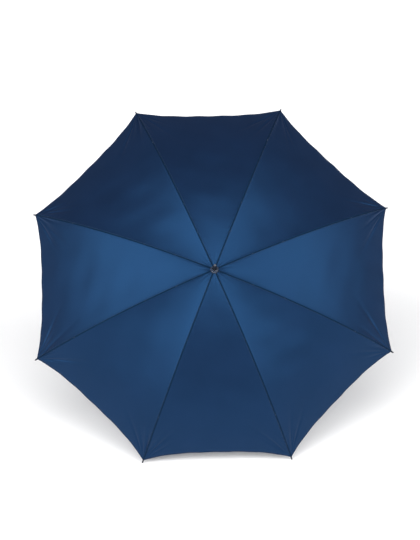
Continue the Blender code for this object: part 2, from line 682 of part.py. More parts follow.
def gore_mesh(rows=11, columns=8):
    """One panel. X runs out along its middle, from the shaft axis; its edges lie over two ribs."""
    angles = cloth_rows(rows + 1)
    reach = (ARC_CENTRE.x + ARC_RADIUS * np.sin(angles))[:, None]
    across = np.linspace(-1, 1, columns + 1)[None, :]
    share = (reach - CLOTH_START) / (reach[-1] - CLOTH_START)
    middle_reach = reach[-1] * math.cos(TURN / 2)
    pull = 1 - HEM_CURVE / middle_reach * (1 - np.abs(across) ** HEM_POWER) * share**3
    reach = reach * pull
    out = reach * math.cos(TURN / 2) + 0 * across
    side = (reach * math.sin(TURN / 2) - SEAM_GAP / math.cos(TURN / 2)) * across
    height = cloth_height(reach, across)
    bm = bmesh.new()
    faces = []
    for lift in (0, CLOTH_THICKNESS):
        grid = [
            [bm.verts.new((out[r, c], side[r, c], height[r, c] + lift)) for c in range(columns + 1)]
            for r in range(rows + 1)
        ]
        faces.append(grid)
        for r in range(rows):
            for c in range(columns):
                bm.faces.new((grid[r][c], grid[r + 1][c], grid[r + 1][c + 1], grid[r][c + 1]))
    under, over = faces
    border = [(0, c) for c in range(columns + 1)]
    border += [(r, columns) for r in range(1, rows + 1)]
    border += [(rows, c) for c in range(columns - 1, -1, -1)]
    border += [(r, 0) for r in range(rows - 1, 0, -1)]
    for (r, c), (q, d) in zip(border, border[1:] + border[:1]):
        bm.faces.new((under[r][c], under[q][d], over[q][d], over[r][c]))
    return mesh_from(bm, "canopy_gore")


def make_canopy(parent, cloth):
    gore = gore_mesh()
    for number in range(1, RIB_COUNT + 1):
        add_object(f"canopy_gore_{number}", gore, parent, cloth, round_about((number - 1) * TURN))


def make_tie_strap(parent, webbing, hook):
    """Stitched inside the hem of the panel opposite +X, hanging along the shaft's direction."""
    corner = ARC_CENTRE.x + ARC_RADIUS * math.sin(ARC_END - CLOTH_END_BEFORE_TIP / ARC_RADIUS)
    hem = corner * math.cos(TURN / 2) - HEM_CURVE
    out = hem - STRAP_INSIDE_HEM
    low_side = (out + STRAP_THICKNESS / 2) / math.cos(TURN / 2)
    top = float(cloth_height(np.float64(low_side), np.float64(0))) - FACE_GAP
    hinge = add_empty(
        "strap_hinge", parent, round_about(math.pi) @ Matrix.Translation((out, 0, top))
    )
    strap = box((STRAP_THICKNESS, STRAP_WIDTH, STRAP_LENGTH), (0, 0, -STRAP_LENGTH / 2))
    add_object("tie_strap", strap, hinge, webbing)
    inside = -(STRAP_THICKNESS + PAD_THICKNESS) / 2 - FACE_GAP
    pad_size = (PAD_THICKNESS, STRAP_WIDTH - 2 * PAD_SIDE, PAD_LENGTH)
    pad = box(pad_size, (inside, 0, -STRAP_LENGTH + PAD_END + PAD_LENGTH / 2))
    add_object("strap_pad", pad, hinge, hook)


def main():
    for old in list(bpy.data.objects):
        bpy.data.objects.remove(old)
    navy = material("navy_cloth", (0.020, 0.055, 0.160), 0.55)
    black = material("black_paint", (0.015, 0.015, 0.017), 0.35)
    fibre = material("black_fibreglass", (0.018, 0.018, 0.020), 0.30)
    plastic = material("black_plastic", (0.020, 0.020, 0.022), 0.45)
    foam = material("black_foam", (0.016, 0.016, 0.017), 0.90)
    rubber = material("black_rubber", (0.020, 0.020, 0.020), 0.75)
    chrome = material("polished_metal", (0.75, 0.75, 0.76), 0.12, 1.0)
    steel = material("spring_steel", (0.55, 0.55, 0.56), 0.30, 1.0)
    dark_cloth = material("dark_disc", (0.010, 0.014, 0.030), 0.60)
    webbing = material("navy_webbing", (0.015, 0.040, 0.120), 0.70)
    hook = material("hook_pad", (0.020, 0.020, 0.025), 0.95)

    lying = add_empty(
        "lying_frame",
        None,
        Matrix.Translation(lying_place()) @ Matrix.Rotation(math.pi / 2 - SLOPE, 4, "X"),
    )
    make_shaft(lying, black)
    make_top_notch(lying, plastic, steel)
    make_crown(lying, dark_cloth, chrome, plastic)
    make_stop_pin(lying, steel)
    make_handle(lying, foam, plastic, rubber)
    make_catch("top_catch", TOP_CATCH_Z, True, lying, steel)
    make_catch("bottom_catch", LOW_CATCH_Z, False, lying, steel)
    make_runner(lying, plastic, steel)
    make_ribs(lying, fibre, plastic)
    make_canopy(lying, navy)
    make_tie_strap(lying, webbing, hook)


main()
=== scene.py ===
# Golf umbrella, open, lying on two rib tips and the end of its handle.
# Pieces are worked out in the umbrella's own frame, where Z runs up the shaft and Z = 0 is the
# level of the rib pivots, and are then laid where the fixed frame lies. Metres and radians.
import json
import math

import bmesh
import bpy
import numpy as np
from mathutils import Matrix


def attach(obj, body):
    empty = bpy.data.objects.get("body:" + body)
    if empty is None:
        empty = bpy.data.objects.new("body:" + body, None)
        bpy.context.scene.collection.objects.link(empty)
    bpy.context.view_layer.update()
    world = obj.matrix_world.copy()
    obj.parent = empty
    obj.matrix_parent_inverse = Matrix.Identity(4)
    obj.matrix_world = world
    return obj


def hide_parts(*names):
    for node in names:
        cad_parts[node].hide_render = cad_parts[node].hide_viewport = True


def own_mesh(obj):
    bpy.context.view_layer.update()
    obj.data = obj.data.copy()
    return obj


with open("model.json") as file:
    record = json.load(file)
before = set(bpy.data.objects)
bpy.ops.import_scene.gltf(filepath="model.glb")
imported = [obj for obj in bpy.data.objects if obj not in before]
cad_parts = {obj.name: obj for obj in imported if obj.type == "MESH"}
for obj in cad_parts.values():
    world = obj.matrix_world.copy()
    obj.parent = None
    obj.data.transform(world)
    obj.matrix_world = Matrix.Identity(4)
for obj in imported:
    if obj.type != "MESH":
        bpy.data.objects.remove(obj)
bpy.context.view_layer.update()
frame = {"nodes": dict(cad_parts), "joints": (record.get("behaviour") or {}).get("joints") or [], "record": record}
joints = {joint["name"]: joint for joint in frame["joints"]}
ribCount = 8
turn = 2 * math.pi / ribCount

# ---- the umbrella's own frame ----
ribPivots = [joints["fold"]] + [joints[f"rib_pivot_{n}"] for n in range(2, ribCount + 1)]
crown = np.mean([joint["pos_m"] for joint in ribPivots], axis=0)
handleEnd = np.array(frame["record"]["mounts"][0]["pos_m"])
shaftUp = (crown - handleEnd) / np.linalg.norm(crown - handleEnd)
axes = np.array([(1.0, 0.0, 0.0), np.cross(shaftUp, (1.0, 0.0, 0.0)), shaftUp])


def laid(points):
    # from the umbrella's own frame to the scene's
    return crown + np.asarray(points) @ axes


def local(points):
    # from the scene's frame to the umbrella's own
    return (np.asarray(points) - crown) @ axes.T


def turnedTo(points, azimuth):
    # x' = x cos a - y sin a and y' = x sin a + y cos a, about the shaft
    x, y, z = np.moveaxis(np.asarray(points), -1, 0)
    c, s = math.cos(azimuth), math.sin(azimuth)
    return np.stack([x * c - y * s, x * s + y * c, z], axis=-1)


def ribAzimuth(number):
    return (number - 0.5) * turn


def goreAzimuth(number):
    return (number - 1) * turn


def nodePoints(name):
    mesh = frame["nodes"][name].data
    points = np.empty(len(mesh.vertices) * 3)
    mesh.vertices.foreach_get("co", points)
    return local(points.reshape(-1, 3))


def nodeSizes(name):
    # how low and how high up the shaft a fixed node reaches, and how far out from it
    points = nodePoints(name)
    return points[:, 2].min(), points[:, 2].max(), np.linalg.norm(points[:, :2], axis=1).max()


# ---- camera, lights and floor ----
studio = {
    "azimuth": math.radians(-1.77),
    "elevation": math.radians(30.65),
    "roll": math.radians(-0.26),
    "distance": 8.0,
    "lens": 163.2,
    "aimRight": -0.0145,
    "aimUp": -0.0006,
    "floorSize": 60.0,
    "floorColour": (0.94, 0.94, 0.94),
    "floorGlow": 0.09,  # the floor is lit a little from below, as a light table
    "skyLow": (0.48, 0.48, 0.49),
    "skyHigh": (0.22, 0.22, 0.23),
    "skyRise": (0.05, 0.55),
    "suns": [
        # name, azimuth from the front (left is negative), elevation, strength, angular size
        ("leftSoftLight", -50, 35, 2.10, 48),
        ("keySoftLight", -8, 58, 1.35, 44),
        ("rightSoftLight", 52, 37, 1.95, 50),
    ],
}


def direction(azimuth, elevation):
    # unit vector from the object towards the front at azimuth 0, and to its right at 90 degrees
    level = math.cos(elevation)
    return np.array([math.sin(azimuth) * level, -math.cos(azimuth) * level, math.sin(elevation)])


def addCamera():
    away = direction(studio["azimuth"], studio["elevation"])
    right = np.array([math.cos(studio["azimuth"]), math.sin(studio["azimuth"]), 0.0])
    up = np.cross(away, right)
    spot = crown + studio["distance"] * away + studio["aimRight"] * right + studio["aimUp"] * up
    c, s = math.cos(studio["roll"]), math.sin(studio["roll"])
    camera = bpy.data.objects.new("camera", bpy.data.cameras.new("camera"))
    camera.data.lens = studio["lens"]
    matrix = np.eye(4)
    matrix[:3] = np.stack([right * c + up * s, up * c - right * s, away, spot], axis=1)
    camera.matrix_world = Matrix(matrix.tolist())
    bpy.context.scene.collection.objects.link(camera)
    bpy.context.scene.camera = camera


def addSun(name, azimuth, elevation, strength, size):
    light = bpy.data.lights.new(name, "SUN")
    light.energy, light.angle = strength, math.radians(size)
    sun = bpy.data.objects.new(name, light)
    away = direction(math.radians(azimuth), math.radians(elevation))
    sun.rotation_euler = (math.pi / 2 - math.radians(elevation), 0, math.atan2(away[0], -away[1]))
    bpy.context.scene.collection.objects.link(sun)


def addSky():
    # brighter near the level, darker overhead
    world = bpy.data.worlds.new("studioSky")
    world.use_nodes = True
    nodes, links = world.node_tree.nodes, world.node_tree.links
    kinds = ("TexCoord", "SeparateXYZ", "MapRange", "Mix")
    spot, split, rise, mix = (nodes.new(f"ShaderNode{kind}") for kind in kinds)
    for socket, height in zip(("From Min", "From Max"), studio["skyRise"]):
        rise.inputs[socket].default_value = height
    mix.data_type = "RGBA"
    for socket, colour in ((6, studio["skyLow"]), (7, studio["skyHigh"])):
        mix.inputs[socket].default_value = (*colour, 1)
    links.new(spot.outputs["Generated"], split.inputs[0])
    links.new(split.outputs["Z"], rise.inputs["Value"])
    links.new(rise.outputs[0], mix.inputs[0])
    links.new(mix.outputs[2], nodes["Background"].inputs["Color"])
    bpy.context.scene.world = world


def addFloor():
    half = studio["floorSize"] / 2
    mesh = bpy.data.meshes.new("floor")
    corners = [(-half, -half, 0), (half, -half, 0), (half, half, 0), (-half, half, 0)]
    mesh.from_pydata(corners, [], [(0, 1, 2, 3)])
    mesh.materials.append(floorFinish().material)
    floor = bpy.data.objects.new("floor", mesh)
    bpy.context.scene.collection.objects.link(floor)


# ---- surfaces ----
def unit(vectors):
    return vectors / np.maximum(np.linalg.norm(vectors, axis=-1, keepdims=True), 1e-12)


def gridLengths(points):
    # for each grid point the mean distance travelled across the columns, and down the rows
    across = np.linalg.norm(np.diff(points, axis=-2), axis=-1).mean(axis=-2)
    down = np.linalg.norm(np.diff(points, axis=-3), axis=-1).mean(axis=-1)
    across = np.concatenate([0 * across[..., :1], np.cumsum(across, axis=-1)], axis=-1)
    down = np.concatenate([0 * down[..., :1], np.cumsum(down, axis=-1)], axis=-1)
    shape = points.shape[:-1]
    across = np.broadcast_to(across[..., None, :], shape)
    return np.stack([across, np.broadcast_to(down[..., :, None], shape)], axis=-1)


class Shape:
    # grids of quads gathered into one mesh
    def __init__(self):
        self.points, self.faces, self.lengths, self.finishes, self.count = [], [], [], [], 0

    def grid(self, points, closed=False, flip=False, lengths=None, finish=0):
        # points is (copies,) rows, columns, 3; faces look along columns x rows, or against it with flip
        points = np.asarray(points, float)
        index = self.count + np.arange(points[..., 0].size).reshape(points.shape[:-1])
        self.points.append(points.reshape(-1, 3))
        self.count += index.size
        if closed:
            index = np.concatenate([index, index[..., :1]], axis=-1)
            points = np.concatenate([points, points[..., :1, :]], axis=-2)
        lengths = gridLengths(points) if lengths is None else lengths
        first, last = np.s_[:-1], np.s_[1:]
        corners = [(first, first), (first, last), (last, last), (last, first)]
        corners = corners[::-1] if flip else corners
        quads = np.stack([index[..., r, c] for r, c in corners], axis=-1).reshape(-1, 4)
        spots = np.stack([lengths[..., r, c, :] for r, c in corners], axis=-2).reshape(-1, 4, 2)
        self.faces.append(quads)
        self.lengths.append(spots)
        self.finishes.append(np.full(len(quads), finish))
        return self

    def piece(self, name, body, finishNames, slot=None, replaces=(), crease=40):
        mesh = bpy.data.meshes.new(name)
        mesh.from_pydata(np.concatenate(self.points), [], np.concatenate(self.faces))
        mesh.uv_layers.new(name="lengths").data.foreach_set("uv", np.concatenate(self.lengths).ravel())
        mesh.polygons.foreach_set("material_index", np.concatenate(self.finishes))
        for finish in finishNames:
            mesh.materials.append(finishes[finish].material)
        bm = bmesh.new()
        bm.from_mesh(mesh)
        bmesh.ops.remove_doubles(bm, verts=bm.verts, dist=1e-7)
        bm.to_mesh(mesh)
        bm.free()
        mesh.polygons.foreach_set("use_smooth", [True] * len(mesh.polygons))
        mesh.set_sharp_from_angle(angle=math.radians(crease))
        piece = bpy.data.objects.new(name, mesh)
        bpy.context.scene.collection.objects.link(piece)
        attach(piece, body)
        if replaces:
            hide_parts(*replaces)
        return piece


def rounded(corners, radius, steps=5):
    # a profile through its corners, each bridged by (1-t)^2 a + 2t(1-t) corner + t^2 b
    corners = np.asarray(corners, float)
    before, after = corners[:-2] - corners[1:-1], corners[2:] - corners[1:-1]
    room = 0.48 * np.minimum(np.linalg.norm(before, axis=1), np.linalg.norm(after, axis=1))
    cut = np.minimum(radius, room)[:, None]
    a, b = corners[1:-1] + unit(before) * cut, corners[1:-1] + unit(after) * cut
    t = np.linspace(0, 1, steps)[None, :, None]
    bridges = (1 - t) ** 2 * a[:, None] + 2 * t * (1 - t) * corners[1:-1, None] + t**2 * b[:, None]
    return np.concatenate([corners[:1], bridges.reshape(-1, 2), corners[-1:]])


def lathe(profile, sides=64):
    # (radius, height) turned round the shaft: x = r cos a, y = r sin a, z = height
    angle = np.linspace(0, 2 * math.pi, sides, endpoint=False)
    radius, height = np.asarray(profile, float).T[:, :, None]
    return np.stack([radius * np.cos(angle), radius * np.sin(angle), height + 0 * angle], axis=-1)


def rod(path, side, halfWidth, halfHeight, sides=16, square=2.0):
    # a section carried along a path: path + side w |cos a|^(2/q) + up h |sin a|^(2/q), signed, with
    # up = path's direction x side; q = 2 is an ellipse and more is squarer
    path, side = np.asarray(path, float), np.asarray(side, float)
    up = np.cross(unit(np.gradient(path, axis=0)), side)
    angle = (np.arange(sides) + 0.5) * 2 * math.pi / sides
    c, s = (np.sign(wave) * np.abs(wave) ** (2 / square) for wave in (np.cos(angle), np.sin(angle)))
    wide = np.multiply.outer(np.broadcast_to(halfWidth, len(path)), c)[..., None] * side
    high = np.multiply.outer(np.broadcast_to(halfHeight, len(path)), s)[..., None] * up[:, None]
    return path[:, None] + wide + high


def ended(path, *sizes):
    # closes a rod's ends: its end points again, with no width
    closed = [np.concatenate([[0], np.broadcast_to(size, len(path)), [0]]) for size in sizes]
    return np.concatenate([path[:1], path, path[-1:]]), *closed


# ---- ribs' curve ----
ribs = {
    "rimRadius": 0.650,  # shaft axis to the end of a tip
    "rimDrop": 0.245,
    "rootRise": math.radians(1.0),
    "rodRadius": 0.00175,
    "shankWidth": 0.0022,
    "shankHeight": 0.0024,
    "shankLength": 0.0090,
    "eyeRadius": 0.0020,
    "eyeBore": 0.0009,
    "pinEyeRadius": 0.0022,
    "pinBore": 0.0012,
    "tipLength": 0.020,
    "tipRadius": 0.0027,
    "tipNose": 0.0020,
    "flare": 0.004,  # a rod rounds out from its flattened end over this length
}
pivotRadius = float(np.linalg.norm(local(joints["fold"]["pos_m"])[:2]))
chord = (ribs["rimRadius"] - pivotRadius, ribs["rimDrop"])
halfAngle = math.atan2(chord[1], chord[0]) + ribs["rootRise"]
arcRadius = math.hypot(*chord) / (2 * math.sin(halfAngle))
arcX = pivotRadius + arcRadius * math.sin(ribs["rootRise"])
arcZ = -arcRadius * math.cos(ribs["rootRise"])
arcEnd = 2 * halfAngle - ribs["rootRise"]


def arcPoint(angle):
    # a circle in the rib's plane: x = cx + R sin a, z = cz + R cos a
    x, z = arcX + arcRadius * np.sin(angle), arcZ + arcRadius * np.cos(angle)
    return np.stack([x, 0 * angle, z], axis=-1)


def arcAngle(reach):
    return np.arcsin((reach - arcX) / arcRadius)


# ---- canopy ----
canopy = {
    "holeRadius": 0.0085,
    "endBeforeTip": 0.0105,
    "overRib": 0.00395,  # lower face of the cloth over a rib's centre line
    "solid": 0.0006,
    "thickness": 0.00036,
    "sag": 0.006,
    "hemCurve": 0.020,
    "hemPower": 3.2,
    "seamGap": 0.0003,
    "hemWidth": 0.0090,
    "allowance": 0.0060,
    "rows": 120,
    "columns": 56,
    "seamColumns": (
        0, 0.0004, 0.0008, 0.0013, 0.0019, 0.0028, 0.0040, 0.0052, 0.0058, 0.0064, 0.0074, 0.0100,
    ),
    "hemRows": (0.0104, 0.0096, 0.0089, 0.0082, 0.0060, 0.0035, 0.0016, 0.0006, 0.0),
    "fineFirst": 0.0124,  # closer rows and columns from here to there off the hem and the seams
    "fine": 0.110,
    "finePitch": 0.0030,
}
seams = {
    "start": 0.03,  # the seams' own shape fades in over this far from the crown
    "grooveDepth": 0.0011, "grooveWidth": 0.0016,
    "ridgeHeight": 0.00030, "ridgeSoftness": 0.0004,
    "foldSoftness": 0.00025,
    "sewnLayers": 1.2,  # layers added in the sewn allowance
}
wrinkles = {
    "corner": 0.0042, "cornerReach": 0.080, "cornerStart": 0.030,
    "cornerFolds": (0.13, 0.34, 0.60, 0.88), "cornerWidth": 0.070, "cornerShift": 0.07,
    "crown": 0.00045, "crownReach": 0.045, "crownStart": 0.008, "crownWaves": 1.6,
    "seam": 0.00028, "seamPitch": 0.017, "seamDrift": 0.071, "seamReach": 0.012,
    "hem": 0.0009, "hemPitch": 0.085, "hemReach": 0.030,
    "panel": 0.0006,
    # rates along and across, turn from panel to panel, share of the height
    "panelWaves": ((31, 12, 1.7, 1.0), (-22, 41, 2.0, 0.7), (64, -23, 1.0, 0.5)),
}
stitching = {
    "length": 0.0028, "pitch": 0.0040, "width": 0.0005, "lift": 0.00028,
    "fromHem": 0.0072, "hemEnd": 0.975,
    "fromSeam": 0.0024, "seamFirst": 0.05, "seamLast": 0.985,
    "tackAt": 0.135, "tackFirst": 0.0005, "tackLast": 0.0075, "tackRows": (-0.0022, 0.0, 0.0022),
    "strapFirst": 0.001, "strapLast": 0.0125, "strapRows": (-0.0016, 0.0, 0.0016),
}
tackedSeams = (2, 7)  # panels whose later seam is tacked to its rib with bars of thread
strapPanel = 5
halfTurn = turn / 2
clothFirst = float(arcAngle(canopy["holeRadius"]))
clothLast = arcEnd - canopy["endBeforeTip"] / arcRadius
clothReach = arcX + arcRadius * math.sin(clothLast)
clothLength = arcRadius * (clothLast - clothFirst)


def clothAngle(share):
    return clothFirst + (clothLast - clothFirst) * share


def halfWidthAt(share):
    # from a panel's middle line to its seam
    return (arcX + arcRadius * np.sin(clothAngle(share))) * math.sin(halfTurn)


def acrossAt(share, distance):
    # how far across a line this far from the seam is
    return 1 - distance / halfWidthAt(share)


def clothSmooth(share, across):
    # share runs from the crown to the hem along the ribs' arc, across from seam to seam, -1 to 1.
    # The cloth is straight from rib to rib, less a sag of 4 s (1 - s) (1 - across^2), and the middle
    # of the hem is drawn in by (1 - |across|^p) s^3
    reach = arcX + arcRadius * np.sin(clothAngle(share))
    done = (reach - canopy["holeRadius"]) / (clothReach - canopy["holeRadius"])
    drawn = canopy["hemCurve"] / (clothReach * math.cos(halfTurn))
    reach = reach * (1 - drawn * (1 - np.abs(across) ** canopy["hemPower"]) * done**3)
    angle = arcAngle(reach)
    done = (reach - canopy["holeRadius"]) / (ribs["rimRadius"] - canopy["holeRadius"])
    sag = canopy["sag"] * 4 * done * (1 - done) * (1 - across**2)
    height = arcZ + arcRadius * np.cos(angle) + canopy["overRib"] / np.cos(angle)
    height = height + canopy["solid"] - sag
    side = (reach * math.sin(halfTurn) - canopy["seamGap"] / math.cos(halfTurn)) * across
    return np.stack([reach * math.cos(halfTurn) + 0 * side, side, height + 0 * side], axis=-1), angle


def clothRelief(share, across, number):
    # height of seams, puckers and folds over the smooth cloth, each a wave times a fall-off
    # from the seam, the corner, the crown or the hem
    halfWidth = halfWidthAt(share)
    fromSeam = (1 - np.abs(across)) * halfWidth
    along = share * clothLength
    fromHem = clothLength - along
    hand = np.sign(across)  # only in waves that die out before the panel's middle
    phase = number * 1.7
    seamOn = np.clip(along / seams["start"], 0, 1)
    groove = -seams["grooveDepth"] * np.exp(-((fromSeam / seams["grooveWidth"]) ** 2)) * seamOn
    step = 1 + np.exp((fromSeam - canopy["allowance"]) / seams["ridgeSoftness"])
    ridge = seams["ridgeHeight"] / step * seamOn
    corner = np.hypot(fromSeam, fromHem)
    fan = np.arctan2(fromSeam, fromHem + 1e-9)
    fold = 0 * corner
    for order, angle in enumerate(wrinkles["cornerFolds"]):
        # a crease leaving the corner at an angle: a bell across it, w times the distance out wide
        shift = wrinkles["cornerShift"] * np.sin(2.3 * number + 4.1 * order + 1.9 * hand)
        reach = wrinkles["cornerReach"] * (1 + 0.35 * np.sin(1.3 * number + 2.7 * order - 1.1 * hand))
        depth = wrinkles["corner"] * (1 + 0.3 * np.cos(3.1 * order + number + hand))
        bell = np.exp(-(((fan - angle - shift) / wrinkles["cornerWidth"]) ** 2))
        start = 1 - np.exp(-((corner / wrinkles["cornerStart"]) ** 2))
        fold = fold - depth * bell * start * np.exp(-((corner / reach) ** 2))
    gather = wrinkles["crown"] * np.exp(-((along / wrinkles["crownReach"]) ** 2))
    gather = gather * np.cos(2 * math.pi * wrinkles["crownWaves"] * across + phase)
    gather = gather * (1 - np.exp(-((along / wrinkles["crownStart"]) ** 2)))
    drift = 1.5 * np.sin(2 * math.pi * along / wrinkles["seamDrift"] + phase + hand)
    ripple = wrinkles["seam"] * np.sin(2 * math.pi * along / wrinkles["seamPitch"] + drift)
    ripple = ripple * np.exp(-fromSeam / wrinkles["seamReach"]) * seamOn
    aside = across * halfWidth
    wave = wrinkles["hem"] * np.sin(2 * math.pi * aside / wrinkles["hemPitch"] + phase)
    wave = wave * (1 - across**4) * np.exp(-fromHem / wrinkles["hemReach"])
    panel = 0
    for alongRate, asideRate, spin, size in wrinkles["panelWaves"]:
        panel = panel + size * np.sin(alongRate * along + asideRate * aside + spin * number)
    panel = wrinkles["panel"] * panel * (1 - across**2) * 4 * share * (1 - share)
    return groove + ridge + fold + gather + ripple + wave + panel


def clothOuter(share, across, number):
    smooth, angle = clothSmooth(share, across)
    outward = np.stack([np.sin(angle), 0 * angle, np.cos(angle)], axis=-1) + 0 * smooth
    return smooth + outward * clothRelief(share, across, number)[..., None]


def clothGrid():
    # even rows and columns, with closer ones at fixed distances from the seams and the hem
    fine = np.arange(canopy["fineFirst"], canopy["fine"], canopy["finePitch"])
    edge = np.concatenate([canopy["seamColumns"], fine])
    hem = np.concatenate([fine[::-1], canopy["hemRows"]])
    main = np.linspace(0, 1 - (hem[0] + canopy["finePitch"]) / clothLength, canopy["rows"])
    share = np.concatenate([main, 1 - hem / clothLength])[:, None]
    halfWidth = halfWidthAt(share)
    inset = edge * np.minimum(1, 0.45 * halfWidth / edge[-1]) / halfWidth
    last = 1 - inset[:, -1:]
    middle = np.linspace(-1, 1, canopy["columns"] + 1)[None, 1:-1] * last
    across = np.concatenate([-(1 - inset), middle, (1 - inset)[:, ::-1]], axis=1)
    return np.broadcast_to(share, across.shape), across, halfWidth


def stitchRun(shape, line, outward, finish):
    # arched stitches along a line of points: stations along the line, a diamond section
    ahead = unit(line[1:] - line[:-1])
    middle = (line[1:] + line[:-1]) / 2
    outward = unit(outward[:-1] + outward[1:])
    side = np.cross(outward, ahead)
    t = np.array([-1.0, -0.8, 0.0, 0.8, 1.0])
    arch = stitching["lift"] * np.array([-0.6, 0.5, 1.0, 0.5, -0.6])
    wide = stitching["width"] / 2 * np.array([0.0, 0.8, 1.0, 0.8, 0.0])
    around = np.array([0, 0.5, 1, 1.5]) * math.pi
    centre = (
        middle[:, None]
        + ahead[:, None] * (t * stitching["length"] / 2)[None, :, None]
        + outward[:, None] * arch[None, :, None]
    )
    ring = (
        side[:, None, None] * (wide[:, None] * np.cos(around))[None, :, :, None]
        + np.cross(ahead, side)[:, None, None] * (wide[:, None] * np.sin(around))[None, :, :, None]
    )
    shape.grid(centre[:, :, None] + ring, closed=True, finish=finish)


def clothLine(share, across, number, azimuth):
    # points along a line on the cloth and the directions out of it, laid in place
    points = clothOuter(share, across, number)
    angle = clothAngle(share)
    outward = np.stack([np.sin(angle), 0 * angle, np.cos(angle)], axis=-1)
    return laid(turnedTo(points, azimuth)), turnedTo(outward, azimuth) @ axes


def spacedShares(first, last):
    # shares of the cloth's length one stitch apart
    count = max(2, round((last - first) * clothLength / stitching["pitch"]))
    return np.linspace(first, last, count + 1)


def sewGore(shape, number, azimuth, hemHalfWidth):
    # stitches along the hem and one seam, and the bars of the tacks and of the tie strap
    def run(share, across):
        stitchRun(shape, *clothLine(share, across, number, azimuth), 1)

    end, count = stitching["hemEnd"], round(2 * clothReach * math.sin(halfTurn) / stitching["pitch"])
    hem = np.linspace(-end, end, count)
    run(0 * hem + 1 - stitching["fromHem"] / clothLength, hem)
    seam = spacedShares(stitching["seamFirst"], stitching["seamLast"])
    run(seam, acrossAt(seam, stitching["fromSeam"]))
    if number in tackedSeams:
        bar = np.linspace(stitching["tackFirst"], stitching["tackLast"], 3)
        for offset in stitching["tackRows"]:
            at = np.full(3, (stitching["tackAt"] + offset) / clothLength)
            run(at, acrossAt(at, bar))
    if number == strapPanel:
        at = 1 - np.linspace(stitching["strapFirst"], stitching["strapLast"], 4) / clothLength
        for offset in stitching["strapRows"]:
            run(at, 0 * at + offset / hemHalfWidth)


def border(values):
    # once round a grid's edge
    return np.concatenate([values[:-1, 0], values[-1, :-1], values[:0:-1, -1], values[0, :0:-1]])


def addGore(number):
    azimuth = goreAzimuth(number)
    share, across, halfWidth = clothGrid()
    outer = clothOuter(share, across, number)
    normal = unit(np.cross(np.gradient(outer, axis=0), np.gradient(outer, axis=1)))
    fromHem, fromSeam = (1 - share) * clothLength, (1 - np.abs(across)) * halfWidth
    # one more layer in the turned hem, and a little over one in the sewn allowance
    turned = 1 / (1 + np.exp((fromHem - canopy["hemWidth"]) / seams["foldSoftness"]))
    sewn = 1 / (1 + np.exp((fromSeam - canopy["allowance"]) / seams["foldSoftness"]))
    wall = canopy["thickness"] * (1 + np.maximum(turned, sewn * seams["sewnLayers"]))
    inner = outer - normal * wall[..., None]
    lengths = np.stack([across * halfWidth, share * clothLength], axis=-1)
    outer, inner = (laid(turnedTo(face, azimuth)) for face in (outer, inner))
    shape = Shape().grid(outer, flip=True, lengths=lengths).grid(inner, lengths=lengths)
    edgeLengths = border(lengths)
    edgeLengths = np.concatenate([edgeLengths, edgeLengths[:1]])
    edgeLengths = np.stack([edgeLengths, edgeLengths + 0.0005])
    shape.grid(np.stack([border(outer), border(inner)]), closed=True, flip=True, lengths=edgeLengths)
    sewGore(shape, number, azimuth, halfWidth[-1, 0])
    return shape.piece(
        f"canopy-panel-{number}", f"canopy_gore_{number}", ["cloth", "thread"], "canopy_cloth",
        [f"canopy_gore_{number}"], 60,
    )


def addCanopy():
    print("canopy")
    area = clothLength * clothReach * math.sin(halfTurn)
    for number in range(1, ribCount + 1):
        panel = addGore(number)
        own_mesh(panel)


# ---- finishes: node trees written as sums and products ----
class Signal:
    # an output socket; arithmetic on it adds Math nodes
    def __init__(self, finish, socket):
        self.finish, self.socket = finish, socket

    def __add__(self, other):
        return self.finish.maths("ADD", self, other)

    def __radd__(self, other):
        return self.finish.maths("ADD", other, self)

    def __sub__(self, other):
        return self.finish.maths("SUBTRACT", self, other)

    def __rsub__(self, other):
        return self.finish.maths("SUBTRACT", other, self)

    def __mul__(self, other):
        return self.finish.maths("MULTIPLY", self, other)

    def __rmul__(self, other):
        return self.finish.maths("MULTIPLY", other, self)

    def sine(self):
        return self.finish.maths("SINE", self)

    def size(self):
        return self.finish.maths("ABSOLUTE", self)

    def fade(self, near, far):
        # 1 up to near, then smoothly down to 0 at far
        values = {"Value": self, "From Min": near, "From Max": far, "To Min": 1.0, "To Max": 0.0}
        return self.finish.node("ShaderNodeMapRange", {"interpolation_type": "SMOOTHSTEP"}, values)


